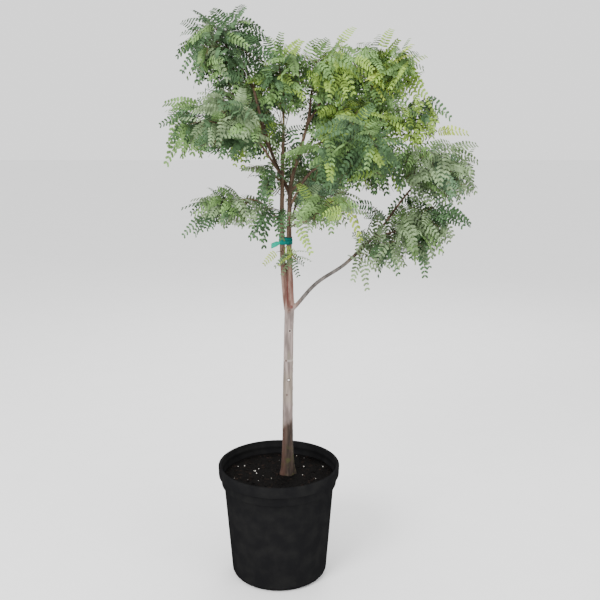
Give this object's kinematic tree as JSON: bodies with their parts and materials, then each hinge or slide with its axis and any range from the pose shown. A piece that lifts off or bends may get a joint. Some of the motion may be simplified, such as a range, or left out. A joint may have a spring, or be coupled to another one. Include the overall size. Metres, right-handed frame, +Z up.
{
  "type": "potted tamarind tree",
  "caption": "Young tamarind tree in a black nursery pot: slim trunk, forked leaders and an open, feathery crown, free-standing on the pot's flat underside.",
  "frame": {"origin": "centre of the pot's flat underside, on the surface that it stands on", "axes": "+Z up along the trunk, +X towards the long low bough on the viewer's right, -Y towards the viewer"},
  "size_m": [0.8597, 0.6294, 1.6343],
  "materials": {
    "pot_plastic": "moulded black polyethylene with a soft sheen",
    "potting_soil": "dark, damp potting mix with chips and pale specks",
    "bark": "smooth young bark, grey-pink above and brown below",
    "foliage": "soft, matte feathery leaves",
    "tie_band": "thin teal stretch tape"
  },
  "bodies": {
    "root": {"pot": "pot_plastic", "soil": "potting_soil", "trunk": "bark", "leader_left": "bark", "leader_right": "bark", "bough_low_right": "bark", "bough_right": "bark", "bough_right_low": "bark", "bough_upright": "bark", "bough_left": "bark", "bough_top_right": "bark", "bough_side_left": "bark", "bough_low_left": "bark", "bough_centre": "bark", "bough_shoulder": "bark", "bough_centre_low": "bark", "bough_front_left": "bark", "bough_back_left": "bark", "bough_front_right": "bark", "bough_back_right": "bark", "bough_back_low": "bark", "bough_front_low": "bark", "tie": "tie_band", "mass_top_left": "foliage", "mass_left": "foliage", "mass_left_inner": "foliage", "mass_low_left": "foliage", "mass_top_centre": "foliage", "mass_top": "foliage", "mass_top_right": "foliage", "mass_shoulder": "foliage", "mass_centre_right": "foliage", "mass_centre": "foliage", "mass_low_centre": "foliage", "mass_right": "foliage", "mass_low_right": "foliage", "mass_under_right": "foliage", "mass_fork": "foliage", "mass_middle": "foliage", "mass_front_left": "foliage", "mass_back_left": "foliage", "mass_front_right": "foliage", "mass_back_right": "foliage", "mass_back_low": "foliage", "mass_front_low": "foliage"}
  },
  "joints": []
}
